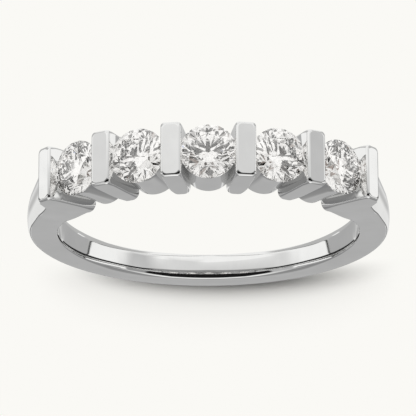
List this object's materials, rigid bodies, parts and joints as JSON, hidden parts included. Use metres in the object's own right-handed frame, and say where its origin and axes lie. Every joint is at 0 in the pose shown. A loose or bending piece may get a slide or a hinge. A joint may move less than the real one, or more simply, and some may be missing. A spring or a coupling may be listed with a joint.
{
  "type": "diamond band ring",
  "caption": "Slim polished white gold finger ring with round brilliants held side by side between upright bars, each over a round open cup.",
  "frame": {"origin": "centre of the finger hole, halfway across the band's width", "axes": "+Z along the finger hole, +Y from the middle stone towards the back of the shank, +X to the side"},
  "size_m": [0.0208, 0.0224, 0.0032],
  "materials": {
    "white_gold": "mirror polished",
    "diamond": "cut and polished"
  },
  "bodies": {
    "root": {"band": "white_gold", "stone_1": "diamond", "stone_2": "diamond", "stone_3": "diamond", "stone_4": "diamond", "stone_5": "diamond"}
  },
  "joints": []
}
